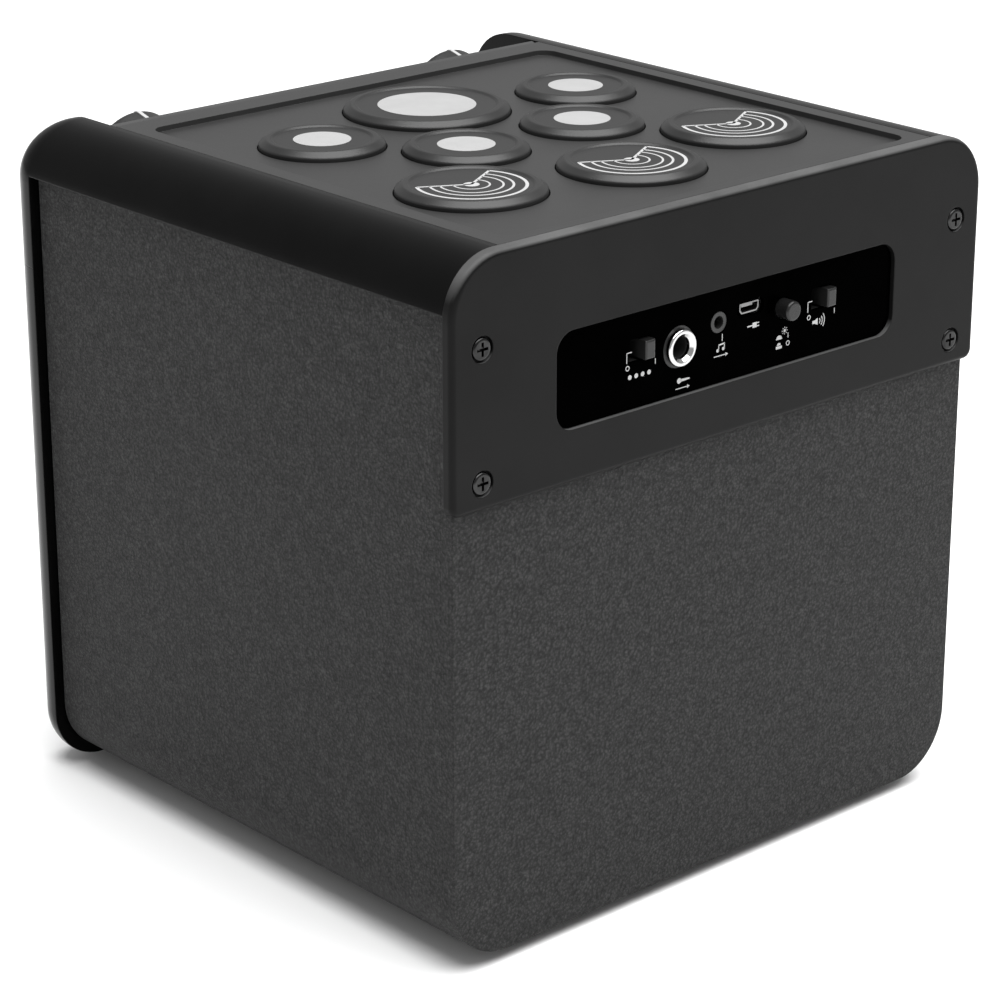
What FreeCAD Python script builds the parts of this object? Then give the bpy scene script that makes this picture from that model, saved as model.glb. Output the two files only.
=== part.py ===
import FreeCAD, Part
import math
import os

from FreeCAD import Rotation, Vector

# Portable party loudspeaker with eight drum pads on its top.
# Design frame of every sub-part: X to the side, Y towards the rear with 0 on the
# rear face of the cabinet, Z up with 0 under the cabinet. Each sub-part is then
# placed so that the whole object stands on Z = 0 with its middle on the origin.

SIZES = {
    # cabinet
    "cab_width": 200.0,
    "cab_depth": 180.0,
    "cab_side": 186.4,
    "cab_wall": 12.0,
    "cab_round": 19.0,
    "wrap_lip": 2.6,
    "wrap_thick": 1.1,
    "board_thick": 4.5,
    "foot_height": 4.0,
    "foot_radius": 9.0,
    "foot_inset_x": 34.0,
    "foot_inset_rear": 34.0,
    "foot_inset_front": 30.0,
    "foot_peg": 3.0,
    "foot_peg_long": 6.0,
    # glossy front trim and top housing
    "trim_proud": 2.2,
    "trim_reach": 18.5,
    "trim_deep": 14.0,
    "trim_split": 158.5,
    "trim_drop": 2.2,
    "trim_wall": 3.2,
    "corner_round": 13.5,
    "shoulder_round": 17.0,
    "low_front_round": 12.0,
    "strip_inset": 3.6,
    "spigot_thick": 7.6,
    "top_level": 201.5,
    "deck_thick": 3.0,
    "cheek_width": 18.9,
    "cheek_wall": 3.0,
    "plate_gap": 0.2,
    # pad plate
    "panel_back": 13.3,
    "plate_rear": 1.2,
    "plate_thick": 4.0,
    "plate_skirt": 2.0,
    "field_deep": 1.6,
    "field_margin": 5.3,
    "field_lead": 8.7,
    "field_rear": 4.6,
    "field_round": 5.0,
    # pads
    "bass_radius": 24.9,
    "bass_y": 125.2,
    "drum_radius": 18.25,
    "outer_drum_x": 49.4,
    "outer_drum_y": 113.5,
    "inner_drum_x": 22.5,
    "inner_drum_y": 82.0,
    "cymbal_radius": 21.05,
    "outer_cymbal_x": 50.6,
    "outer_cymbal_y": 48.0,
    "centre_cymbal_y": 38.0,
    "pad_gap": 0.35,
    "pad_proud": 2.7,
    "pad_dish": 0.5,
    "pad_flange": 1.6,
    "pad_travel": 1.2,
    "rest_gap": 0.3,
    "circuit_thick": 1.6,
    "standoff": 1.6,
    "cushion_thick": 0.9,
    # sloped control panel
    "panel_tilt": 75.0,
    "panel_thick": 3.0,
    "panel_step": 3.2,
    "knob_x": 61.75,
    "knob_down": 20.8,
    "knob_radius": 15.0,
    "knob_tall": 16.5,
    "knob_gap": 1.0,
    "shaft_radius": 3.0,
    "fit_gap": 0.05,
    "screen_down": 20.0,
    "screen_half_wide": 25.0,
    "screen_half_tall": 6.0,
    "button_down": 35.0,
    "button_pitch": 18.0,
    "button_radius": 4.0,
    "button_travel": 0.8,
    # rear plate, window and sockets
    "plate_low": 132.0,
    "rear_thick": 2.6,
    "rear_rim": 1.0,
    "rear_edge_round": 1.6,
    "window_half": 65.5,
    "window_low": 147.5,
    "window_high": 174.5,
    "window_round": 5.7,
    "window_thick": 1.4,
    "screw_inset": 8.3,
    "screw_high": 176.2,
    "screw_low": 139.7,
    "mic_x": 19.3,
    "mic_z": 161.0,
    "mic_bore": 3.2,
    "mic_step": 0.75,
    "mic_nose": 6.0,
    "aux_x": 4.2,
    "aux_z": 164.8,
    "aux_bore": 1.8,
    "aux_nose": 3.0,
    "usb_x": -7.9,
    "usb_z": 166.6,
    "drum_switch_x": 34.3,
    "speaker_switch_x": -36.9,
    "switch_z": 163.65,
    "slide_travel": 4.0,
    "slide_cap_wide": 3.6,
    "slide_cap_tall": 5.4,
    "slide_proud": 2.2,
    "light_x": -21.1,
    "light_z": 163.7,
    "light_radius": 2.9,
    "light_proud": 4.4,
    "light_travel": 2.0,
    "jack_board_z": 170.0,
    # loudspeaker
    "speaker_z": 81.5,
    "baffle_thick": 9.0,
    "basket_radius": 68.0,
    "basket_hole": 57.0,
    "cone_radius": 47.4,
    "lamp_outer": 69.0,
    "lamp_inner": 62.6,
    "grille_radius": 62.2,
}


class Size:
    """A length that knows its value and the sheet expression that gives it."""

    def __init__(self, value, text):
        self.value = value
        self.text = text

    def join(self, other, sign, value):
        return Size(value, "(%s %s %s)" % (self.text, sign, other.text))

    def __add__(self, other):
        other = as_size(other)
        return self.join(other, "+", self.value + other.value)

    def __radd__(self, other):
        return as_size(other) + self

    def __sub__(self, other):
        other = as_size(other)
        return self.join(other, "-", self.value - other.value)

    def __rsub__(self, other):
        return as_size(other) - self

    def __mul__(self, other):
        other = as_size(other)
        return self.join(other, "*", self.value * other.value)

    def __rmul__(self, other):
        return as_size(other) * self

    def __truediv__(self, other):
        other = as_size(other)
        return self.join(other, "/", self.value / other.value)

    def __neg__(self):
        return as_size(0) - self

    def __float__(self):
        return float(self.value)


def as_size(number):
    if isinstance(number, Size):
        return number
    return Size(float(number), "(%r)" % float(number))


doc = FreeCAD.newDocument("dance_rhythm_machine")
sheet = doc.addObject("Spreadsheet::Sheet", "Sizes")
for row, (alias, number) in enumerate(SIZES.items(), start=1):
    sheet.set("A%d" % row, alias)
    sheet.set("B%d" % row, str(number))
    sheet.setAlias("B%d" % row, alias)
doc.recompute()


class Sheet:
    """Every sheet cell as a Size, by its alias."""

    def __getattr__(self, alias):
        return Size(float(sheet.get(alias)), "Sizes." + alias)


S = Sheet()
SUB_PARTS = []


# ---------------------------------------------------------------- helpers

def bind(item, prop, length):
    item.setExpression(prop, as_size(length).text)


def seat(item, x, y, z):
    for axis, place in zip("xyz", (x, y, z)):
        bind(item, "Placement.Base." + axis, place)


def box(x, y, z):
    """A block between three (low, high) pairs."""
    item = doc.addObject("Part::Box", "Block")
    for prop, (low, high) in zip(("Length", "Width", "Height"), (x, y, z)):
        bind(item, prop, as_size(high) - low)
    seat(item, x[0], y[0], z[0])
    return item


def rod(axis, spot, span, radius):
    """A cylinder along axis; spot is its centre in the two other axes."""
    item = doc.addObject("Part::Cylinder", "Rod")
    bind(item, "Radius", radius)
    bind(item, "Height", as_size(span[1]) - span[0])
    if axis == "z":
        seat(item, spot[0], spot[1], span[0])
    elif axis == "y":
        item.Placement = FreeCAD.Placement(Vector(), Rotation(Vector(1, 0, 0), -90))
        seat(item, spot[0], span[0], spot[1])
    else:
        item.Placement = FreeCAD.Placement(Vector(), Rotation(Vector(0, 1, 0), 90))
        seat(item, span[0], spot[0], spot[1])
    return item


def fuse(*items):
    if len(items) == 1:
        return items[0]
    item = doc.addObject("Part::MultiFuse", "Joined")
    item.Shapes = list(items)
    return item


def cut(base, *tools):
    item = doc.addObject("Part::Cut", "Cut")
    item.Base = base
    item.Tool = fuse(*tools)
    return item


def group(*items):
    item = doc.addObject("Part::Compound", "Set")
    item.Links = list(items)
    return item


def ring(axis, spot, span, outer, inner):
    low, high = as_size(span[0]), as_size(span[1])
    return cut(rod(axis, spot, span, outer), rod(axis, spot, (low - 1, high + 1), inner))


def outline(sketch, corners):
    """Add a closed outline; a corner is (x, y) or (x, y, radius)."""
    spots = [Vector(float(corner[0]), float(corner[1]), 0) for corner in corners]
    radii = [float(corner[2]) if len(corner) > 2 else 0.0 for corner in corners]
    ends = []
    arcs = []
    for number, spot in enumerate(spots):
        radius = radii[number]
        if radius <= 0:
            ends.append((spot, spot))
            continue
        back = (spots[number - 1] - spot).normalize()
        ahead = (spots[(number + 1) % len(spots)] - spot).normalize()
        half = back.getAngle(ahead) / 2
        reach = radius / math.tan(half)
        centre = spot + (back + ahead).normalize() * (radius / math.sin(half))
        start, end = spot + back * reach, spot + ahead * reach
        ends.append((start, end))
        turn = [math.atan2(p.y - centre.y, p.x - centre.x) for p in (start, end)]
        if (turn[1] - turn[0]) % (2 * math.pi) > math.pi:
            turn.reverse()
        if turn[1] < turn[0]:
            turn[1] += 2 * math.pi
        circle = Part.Circle(centre, Vector(0, 0, 1), radius)
        arcs.append(Part.ArcOfCircle(circle, turn[0], turn[1]))
    for number in range(len(ends)):
        start = ends[number][1]
        end = ends[(number + 1) % len(ends)][0]
        if start.distanceToPoint(end) > 1e-6:
            sketch.addGeometry(Part.LineSegment(start, end), False)
    for arc in arcs:
        sketch.addGeometry(arc, False)


def sketched(role, lift, outlines, circles=()):
    """A body with a sketch on one of its own planes, lifted along the normal."""
    body = doc.addObject("PartDesign::Body", "Solid")
    sketch = body.newObject("Sketcher::SketchObject", "Profile")
    for plane in body.Origin.OriginFeatures:
        if plane.Role == role:
            sketch.AttachmentSupport = [(plane, "")]
    sketch.MapMode = "FlatFace"
    bind(sketch, "AttachmentOffset.Base.z", lift)
    for corners in outlines:
        outline(sketch, corners)
    for x, y, radius in circles:
        centre = Vector(float(x), float(y), 0)
        sketch.addGeometry(Part.Circle(centre, Vector(0, 0, 1), float(radius)), False)
    return body, sketch


def prism(role, span, outlines, circles=()):
    """A straight body: XY_Plane rises in Z, XZ_Plane runs in Y, YZ_Plane in X."""
    low, high = as_size(span[0]), as_size(span[1])
    lift = -high if role == "XZ_Plane" else low
    body, sketch = sketched(role, lift, outlines, circles)
    pad = body.newObject("PartDesign::Pad", "Pad")
    pad.Profile = sketch
    bind(pad, "Length", high - low)
    body.Tip = pad
    return body


def turned(profile):
    """A body of revolution about Z from (radius, height) corners."""
    body, sketch = sketched("XZ_Plane", 0, [profile])
    revolution = body.newObject("PartDesign::Revolution", "Revolution")
    revolution.Profile = sketch
    revolution.ReferenceAxis = (sketch, ["V_Axis"])
    revolution.Angle = 360
    body.Tip = revolution
    return body


def rectangle(x, y, radius=0):
    return [(x[0], y[0], radius), (x[1], y[0], radius), (x[1], y[1], radius), (x[0], y[1], radius)]


def rounded(base, choose):
    """Round the edges of a block; choose(middle, direction) gives each radius."""
    doc.recompute()
    item = doc.addObject("Part::Fillet", "Rounded")
    item.Base = base
    edges = []
    for number, edge in enumerate(base.Shape.Edges, start=1):
        radius = choose(edge.CenterOfMass, edge.tangentAt(edge.FirstParameter))
        if radius:
            edges.append((number, float(radius), float(radius)))
    item.Edges = edges
    return item


def spaced(count, radius, start=0.0):
    """Points evenly spaced on a circle, first one at start degrees."""
    for number in range(count):
        angle = math.radians(start + 360.0 * number / count)
        yield radius * math.cos(angle), radius * math.sin(angle)


HALF = S.cab_width / 2
TRIM_HALF = HALF + S.trim_proud
TRIM_FRONT = S.cab_depth + S.trim_reach
WELL_HALF = TRIM_HALF - S.cheek_width
PLATE_FRONT = S.cab_depth - S.panel_back
FIELD_FRONT = PLATE_FRONT - S.field_lead
REAR_MOST = S.window_thick + S.light_proud
MIDDLE_Y = (TRIM_FRONT - REAR_MOST) / 2
TRIM_BACK = TRIM_FRONT - S.trim_deep
DECK_TOP = S.cab_side + S.deck_thick
CIRCUIT_LOW = DECK_TOP + S.standoff
CIRCUIT_TOP = CIRCUIT_LOW + S.circuit_thick
PLATE_UNDER = S.top_level - S.plate_thick
FIELD_LEVEL = S.top_level - S.field_deep
PAD_FLANGE_TOP = PLATE_UNDER - S.rest_gap
PAD_UNDER = CIRCUIT_TOP + S.cushion_thick + S.rest_gap + S.pad_travel
PANEL_LEDGE = 1.8
PANEL_LOW = -(S.top_level - S.trim_split - PANEL_LEDGE) * (1 / math.sin(math.radians(float(S.panel_tilt))))


def place_in_cabinet(item):
    seat(item, 0, MIDDLE_Y, S.foot_height)


def place_on_panel(item):
    item.Placement = FreeCAD.Placement(Vector(), Rotation(Vector(1, 0, 0), float(S.panel_tilt)))
    item.setExpression("Placement.Rotation.Angle", S.panel_tilt.text)
    seat(item, 0, MIDDLE_Y - PLATE_FRONT - S.panel_step, S.foot_height + S.top_level - S.plate_gap)


def sub_part(name, item, place=place_in_cabinet):
    if item.TypeId in ("Part::Box", "Part::Cylinder"):
        item = group(item)
    place(item)
    item.Label = name
    SUB_PARTS.append(item)
    return item


# ---------------------------------------------------------------- cabinet

FOOT_SPOTS = [
    (side * (HALF - S.foot_inset_x), -depth)
    for side in (-1, 1)
    for depth in (S.foot_inset_rear, S.cab_depth - S.foot_inset_front)
]
REAR_SCREWS = [(side * (HALF - S.screw_inset), level) for side in (-1, 1) for level in (S.screw_low, S.screw_high)]
SCREW_SHANK = 1.5
SCREW_LONG = 13.0


def make_cabinet_shell():
    inner = HALF - S.cab_wall
    inner_round = S.cab_round - S.cab_wall
    channel = prism("XZ_Plane", (-S.cab_depth, -S.board_thick), [[
        (-HALF, S.cab_side),
        (-HALF, 0, S.cab_round),
        (HALF, 0, S.cab_round),
        (HALF, S.cab_side),
        (inner, S.cab_side),
        (inner, S.cab_wall, inner_round),
        (-inner, S.cab_wall, inner_round),
        (-inner, S.cab_side),
    ]])
    holes = [rod("y", spot, (-SCREW_LONG - 1, 0), SCREW_SHANK + S.fit_gap) for spot in REAR_SCREWS]
    pegs = [rod("z", spot, (-1, S.foot_peg_long + 0.5), S.foot_peg + S.fit_gap) for spot in FOOT_SPOTS]
    edge = HALF - S.wrap_thick
    edge_round = S.cab_round - S.wrap_thick
    lip = prism("XZ_Plane", (-S.cab_depth - S.wrap_lip, -S.cab_depth + 1), [[
        (-HALF, S.cab_side),
        (-HALF, 0, S.cab_round),
        (HALF, 0, S.cab_round),
        (HALF, S.cab_side),
        (edge, S.cab_side),
        (edge, S.wrap_thick, edge_round),
        (-edge, S.wrap_thick, edge_round),
        (-edge, S.cab_side),
    ]])
    sub_part("cabinet_shell", cut(fuse(channel, lip), *holes, *pegs))


JACK_HALF = 60.0
JACK_LOW = 150.0
JACK_HIGH = 176.0


def make_rear_board():
    panel = [
        (-HALF, S.cab_side),
        (-HALF, 0, S.cab_round),
        (HALF, 0, S.cab_round),
        (HALF, S.cab_side),
    ]
    opening = rectangle((-JACK_HALF, JACK_HALF), (JACK_LOW, JACK_HIGH), 3)
    screws = [(x, z, SCREW_SHANK + S.fit_gap) for x, z in REAR_SCREWS]
    sub_part("rear_board", prism("XZ_Plane", (-S.board_thick, 0), [panel, opening], screws))


def make_front_baffle():
    half = HALF - S.cab_wall - 0.2
    low = S.cab_wall + 0.2
    high = S.trim_split - S.trim_wall - 0.2
    panel = [
        (-half, low, S.cab_round - S.cab_wall + 0.3),
        (half, low, S.cab_round - S.cab_wall + 0.3),
        (half, high),
        (-half, high),
    ]
    span = (-S.cab_depth, -S.cab_depth + S.baffle_thick)
    holes = [(0, S.speaker_z, S.basket_hole)]
    for x, z in spaced(6, float(S.basket_radius) - 3.5, 30):
        holes.append((x, float(S.speaker_z) + z, 1.45))
    sub_part("front_baffle", prism("XZ_Plane", span, [panel], holes))


def make_feet():
    feet = []
    for spot in FOOT_SPOTS:
        sole = rod("z", spot, (-S.foot_height, 0), S.foot_radius)
        peg = rod("z", spot, (-0.5, S.foot_peg_long), S.foot_peg)
        feet.append(fuse(sole, peg))
    sub_part("feet", group(*feet))


# ---------------------------------------------------------------- glossy trim

LED_EAR = 54.2
LED_EAR_RADIUS = 5.5


def make_front_bezel():
    body = box((-TRIM_HALF, TRIM_HALF), (-TRIM_FRONT, -TRIM_BACK), (-S.trim_drop, S.trim_split))
    low = -float(S.trim_drop) + 1e-6
    front = -float(TRIM_FRONT) + 1e-6

    def radius(middle, direction):
        if abs(direction.z) > 0.9 and middle.y < front:
            return S.corner_round
        if abs(direction.y) > 0.9 and middle.z < low:
            return S.shoulder_round
        if abs(direction.x) > 0.9 and middle.z < low and middle.y < front:
            return S.low_front_round
        return None

    body = rounded(body, radius)
    spigot_half = TRIM_HALF - S.strip_inset
    spigot_low = S.strip_inset - S.trim_drop
    spigot_in = spigot_half - S.spigot_thick
    spigot = prism("XZ_Plane", (-TRIM_BACK - 1, -S.cab_depth), [
        [
            (-spigot_half, S.trim_split),
            (-spigot_half, spigot_low, S.cab_round - spigot_low),
            (spigot_half, spigot_low, S.cab_round - spigot_low),
            (spigot_half, S.trim_split),
        ],
        [
            (-spigot_in, S.trim_split - S.trim_wall),
            (-spigot_in, spigot_low + S.spigot_thick, 10),
            (spigot_in, spigot_low + S.spigot_thick, 10),
            (spigot_in, S.trim_split - S.trim_wall),
        ],
    ])
    ledge_half = WELL_HALF - S.plate_gap
    ledge = box((-ledge_half, ledge_half), (-TRIM_BACK - 1, -S.cab_depth + 5),
                (S.trim_split - S.trim_wall, S.trim_split))
    inside = -TRIM_FRONT + S.trim_wall
    hollow_half = TRIM_HALF - 10.2
    hollow = box((-hollow_half, hollow_half), (inside, -TRIM_BACK + 0.01),
                 (S.speaker_z - S.lamp_outer - 4.5, S.trim_split - S.trim_wall))
    opening = rod("y", (0, S.speaker_z), (-TRIM_FRONT - 1, -TRIM_BACK), S.lamp_outer + 0.3)
    bosses = []
    for side in (-1, 1):
        for up in (-1, 1):
            spot = (side * LED_EAR, S.speaker_z + up * LED_EAR)
            boss = rod("y", spot, (inside - 0.5, inside + 2.4), 3.4)
            bosses.append(cut(boss, rod("y", spot, (inside, inside + 3), 1.05)))
    shell = cut(fuse(body, spigot, ledge), hollow, opening)
    sub_part("front_bezel", fuse(shell, *bosses))


DECK_SCREWS = [(side * 74.0, -depth) for side in (-1, 1) for depth in (14.0, 80.0, 150.0)]
AMP_HALF = 60.0
AMP_FRONT = 150.0
AMP_REAR = 80.0
AMP_TOP = 181.6
AMP_SCREWS = [(side * 55.0, -depth) for side in (-1, 1) for depth in (85.0, 145.0)]


def make_top_housing():
    body = box((-TRIM_HALF, TRIM_HALF), (-TRIM_FRONT, -S.rear_rim), (S.trim_split, S.top_level))
    high = float(S.top_level) - 1e-6
    front = -float(TRIM_FRONT) + 1e-6

    def radius(middle, direction):
        if abs(direction.z) > 0.9 and middle.y < front:
            return S.corner_round
        if abs(direction.y) > 0.9 and middle.z > high:
            return S.shoulder_round
        if abs(direction.x) > 0.9 and middle.z > high and middle.y < front:
            return S.shoulder_round
        return None

    body = rounded(body, radius)
    below = S.trim_split - 5
    above = S.top_level + 5
    wing = WELL_HALF + S.cheek_wall
    well = box((-WELL_HALF, WELL_HALF), (-PLATE_FRONT, 5), (DECK_TOP, above))
    recess = box((-WELL_HALF, WELL_HALF), (-TRIM_FRONT - 5, -PLATE_FRONT), (below, above))
    under = box((-WELL_HALF, WELL_HALF), (-PLATE_FRONT - 1, 5), (below, S.cab_side))
    behind = box((-wing - 1, wing + 1), (-PLATE_FRONT + 4, 5), (below, S.cab_side))
    tools = [well, recess, under, behind]
    for side in (-1, 1):
        for low, high_x, y, z in (
            (wing, TRIM_HALF + 5, (-S.cab_depth, 5), (below, S.cab_side)),
            (TRIM_HALF - S.strip_inset, TRIM_HALF + 5, (-TRIM_BACK, -S.cab_depth + 1), (below, S.cab_side)),
            (wing, HALF - 4, (-TRIM_FRONT + 4.5, -TRIM_BACK + 2.5), (below, S.cab_side)),
            (wing, HALF - 3, (-S.cab_depth + 4, -4), (S.cab_side - 1, S.cab_side + 7)),
        ):
            span = (low, high_x) if side > 0 else (-high_x, -low)
            tools.append(box(span, y, z))
    tools.append(box((-20, 20), (-160, -154), (S.cab_side - 1, DECK_TOP + 1)))
    shell = cut(body, *tools)
    posts = []
    for spot in DECK_SCREWS:
        post = rod("z", spot, (DECK_TOP - 0.5, CIRCUIT_LOW), 3.4)
        posts.append(post)
    for spot in AMP_SCREWS:
        post = rod("z", spot, (AMP_TOP, S.cab_side + 0.5), 3.4)
        posts.append(post)
    drilled = [rod("z", spot, (S.cab_side + 0.4, CIRCUIT_LOW + 1), 1.05) for spot in DECK_SCREWS]
    drilled += [rod("z", spot, (AMP_TOP - 1, DECK_TOP - 0.5), 1.05) for spot in AMP_SCREWS]
    sub_part("top_housing", cut(fuse(shell, *posts), *drilled))


# ---------------------------------------------------------------- pads

PADS = [
    ("pad_bass", 0, S.bass_y, S.bass_radius),
    ("pad_drum_outer_left", -S.outer_drum_x, S.outer_drum_y, S.drum_radius),
    ("pad_drum_outer_right", S.outer_drum_x, S.outer_drum_y, S.drum_radius),
    ("pad_drum_inner_left", -S.inner_drum_x, S.inner_drum_y, S.drum_radius),
    ("pad_drum_inner_right", S.inner_drum_x, S.inner_drum_y, S.drum_radius),
    ("pad_cymbal_left", -S.outer_cymbal_x, S.outer_cymbal_y, S.cymbal_radius),
    ("pad_cymbal_centre", 0, S.centre_cymbal_y, S.cymbal_radius),
    ("pad_cymbal_right", S.outer_cymbal_x, S.outer_cymbal_y, S.cymbal_radius),
]


def make_pad_plate():
    half = WELL_HALF - S.plate_gap
    skirt = S.plate_skirt
    block = box((-half, half), (-PLATE_FRONT, -S.plate_rear), (DECK_TOP, S.top_level))
    hollow = box((skirt - half, half - skirt), (skirt - PLATE_FRONT, -S.plate_rear - skirt),
                 (DECK_TOP - 1, PLATE_UNDER))
    field_half = half - S.field_margin
    field = prism("XY_Plane", (FIELD_LEVEL, S.top_level + 1), [
        rectangle((-field_half, field_half), (-FIELD_FRONT, -S.field_rear), S.field_round)])
    holes = []
    for name, x, y, radius in PADS:
        holes.append(rod("z", (x, -y), (PLATE_UNDER - 1, S.top_level), radius + S.pad_gap))
    sub_part("pad_plate", cut(block, hollow, field, *holes))


def make_pads():
    top = FIELD_LEVEL + S.pad_proud
    for name, x, y, radius in PADS:
        stem = 3.5
        profile = [
            (0, PAD_UNDER - 0.6),
            (stem, PAD_UNDER - 0.6),
            (stem, PAD_UNDER),
            (radius + S.pad_flange, PAD_UNDER),
            (radius + S.pad_flange, PAD_FLANGE_TOP),
            (radius, PAD_FLANGE_TOP),
            (radius, top - 1.5, 1.0),
            (radius - 2.2, top, 1.2),
            (radius - 3.6, top, 0.4),
            (radius - 4.4, top - S.pad_dish, 0.4),
            (0, top - S.pad_dish),
        ]
        pad = turned(profile)
        seat(pad, x, -y, 0)
        sub_part(name, group(pad))


def make_pad_board():
    x, front, rear = 78.0, 156.0, 10.0
    board = box((-x, x), (-front, -rear), (CIRCUIT_LOW, CIRCUIT_TOP))
    holes = [rod("z", spot, (CIRCUIT_LOW - 1, CIRCUIT_TOP + 1), 1.2) for spot in DECK_SCREWS]
    sub_part("pad_board", cut(board, *holes))
    rings = []
    for name, x, y, radius in PADS:
        span = (CIRCUIT_TOP, CIRCUIT_TOP + S.cushion_thick)
        rings.append(ring("z", (x, -y), span, radius - 3, radius - 7))
    sub_part("pad_cushions", group(*rings))


# ---------------------------------------------------------------- control panel

SCREEN_Y = -S.screen_down
BUTTON_Y = -S.button_down
KNOB_Y = -S.knob_down
BUTTON_X = [S.button_pitch * step for step in (-1.5, -0.5, 0.5, 1.5)]
CIRCUIT_BACK = 9.0
PANEL_SCREWS = [(side * 45.0, -down) for side in (-1, 1) for down in (18.5, 38.5)]


def make_control_panel():
    half = WELL_HALF - S.plate_gap
    slab = box((-half, half), (PANEL_LOW, 0), (-S.panel_thick, 0))
    wide, tall = S.screen_half_wide, S.screen_half_tall
    tools = [
        box((-wide, wide), (SCREEN_Y - tall, SCREEN_Y + tall), (-S.panel_thick - 1, 1)),
        box((-wide - 2, wide + 2), (SCREEN_Y - tall - 1.6, SCREEN_Y + tall + 1.6), (-1.4, 1)),
    ]
    for x in BUTTON_X:
        tools.append(rod("z", (x, BUTTON_Y), (-S.panel_thick - 1, 1), S.button_radius + 0.3))
    for side in (-1, 1):
        tools.append(rod("z", (side * S.knob_x, KNOB_Y), (-S.panel_thick - 1, 1), 3.6))
    plate = cut(slab, *tools)
    posts = [rod("z", spot, (-CIRCUIT_BACK, -S.panel_thick + 0.5), 3.0) for spot in PANEL_SCREWS]
    drilled = [rod("z", spot, (-CIRCUIT_BACK - 1, -S.panel_thick), 1.05) for spot in PANEL_SCREWS]
    sub_part("control_panel", cut(fuse(plate, *posts), *drilled), place_on_panel)


def make_display():
    wide, tall = S.screen_half_wide, S.screen_half_tall
    lens = prism("XY_Plane", (-1.4, -0.1), [
        rectangle((-wide - 1.8, wide + 1.8), (SCREEN_Y - tall - 1.4, SCREEN_Y + tall + 1.4), 1)])
    sub_part("display_window", group(lens), place_on_panel)
    module = box((0.5 - wide, wide - 0.5), (SCREEN_Y - tall + 0.5, SCREEN_Y + tall - 0.5),
                 (-CIRCUIT_BACK, -1.6))
    sub_part("display_module", module, place_on_panel)


def make_control_board():
    board = box((-50, 50), (-42, -15), (-CIRCUIT_BACK - S.circuit_thick, -CIRCUIT_BACK))
    holes = [rod("z", spot, (-20, 0), 1.2) for spot in PANEL_SCREWS]
    switches = []
    plunger = -S.panel_thick - S.rest_gap - 1.6 - S.button_travel - 0.2
    for x in BUTTON_X:
        base = box((x - 3, x + 3), (BUTTON_Y - 3, BUTTON_Y + 3), (-CIRCUIT_BACK, plunger - 0.5))
        switches.append(fuse(base, rod("z", (x, BUTTON_Y), (plunger - 1, plunger), 1.7)))
    sub_part("control_board", group(cut(board, *holes), *switches), place_on_panel)


def make_buttons():
    for number, x in enumerate(BUTTON_X, start=1):
        flange_top = -S.panel_thick - S.rest_gap
        profile = [
            (0, flange_top - 1.6),
            (S.button_radius + 1, flange_top - 1.6),
            (S.button_radius + 1, flange_top),
            (S.button_radius, flange_top),
            (S.button_radius, 1.3, 0.6),
            (0, 1.3),
        ]
        button = turned(profile)
        seat(button, x, BUTTON_Y, 0)
        sub_part("button_%d" % number, group(button), place_on_panel)


def make_knobs():
    hub = 5.5
    bore = S.shaft_radius + S.fit_gap
    for name, side in (("left", -1), ("right", 1)):
        x = side * S.knob_x
        grip = S.knob_radius
        cap = turned([
            (0, S.knob_tall),
            (grip - 0.5, S.knob_tall, 3),
            (grip, S.knob_gap, 0.5),
            (grip - 2.2, S.knob_gap),
            (grip - 2.2, S.knob_tall - 4),
            (hub, S.knob_tall - 4),
            (hub, 2.4),
            (bore, 2.4),
            (bore, S.knob_tall - 3.5),
            (0, S.knob_tall - 3.5),
        ])
        slot = box((-0.7, 0.7), (grip - 1.0, grip + 1), (0, S.knob_tall + 1))
        cap = cut(cap, slot)
        seat(cap, x, KNOB_Y, 0)
        shaft = rod("z", (x, KNOB_Y), (-7.7, S.knob_tall - 3.8), S.shaft_radius)
        sub_part("knob_" + name, group(cap, shaft), place_on_panel)
        body = rod("z", (x, KNOB_Y), (-11, -S.panel_thick), 6.6)
        bush = rod("z", (x, KNOB_Y), (-S.panel_thick - 1, 1.8), 3.4)
        hole = rod("z", (x, KNOB_Y), (-8, 3), S.shaft_radius + S.fit_gap)
        nut = ring("z", (x, KNOB_Y), (0, 1.6), 6, 3.4 + S.fit_gap)
        sub_part("pot_" + name, group(cut(fuse(body, bush), hole), nut), place_on_panel)


# ---------------------------------------------------------------- rear plate

def rear_outline(inset):
    side = TRIM_HALF - inset
    low = S.plate_low + inset
    high = S.top_level - inset
    return [
        (-side, low, 3),
        (side, low, 3),
        (side, high, S.shoulder_round - inset),
        (-side, high, S.shoulder_round - inset),
    ]


def make_rear_plate():
    grow = 0.3
    opening = rectangle((-S.window_half - grow, S.window_half + grow),
                        (S.window_low - grow, S.window_high + grow), S.window_round + grow)
    face = prism("XZ_Plane", (-S.rear_rim, S.rear_thick), [rear_outline(0)])
    front = float(S.rear_thick) - 1e-6
    face = rounded(face, lambda middle, direction: S.rear_edge_round if middle.y > front else None)
    rim = S.trim_proud - 0.3
    side = TRIM_HALF - rim
    inner = prism("XZ_Plane", (-S.rear_rim - 1, 0), [[
        (-side, S.plate_low - 5),
        (side, S.plate_low - 5),
        (side, S.top_level - rim, S.shoulder_round - rim),
        (-side, S.top_level - rim, S.shoulder_round - rim),
    ]])
    tools = [prism("XZ_Plane", (-S.rear_rim - 1, S.rear_thick + 1), [opening])]
    tools += [rod("y", spot, (-S.rear_rim - 1, S.rear_thick + 1), 1.7) for spot in REAR_SCREWS]
    tools += [rod("y", spot, (S.window_thick, S.rear_thick + 1), 3.7) for spot in REAR_SCREWS]
    sub_part("rear_plate", cut(face, inner, *tools))


USB_HALF = 5.4
USB_TALL = 2.4


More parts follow.
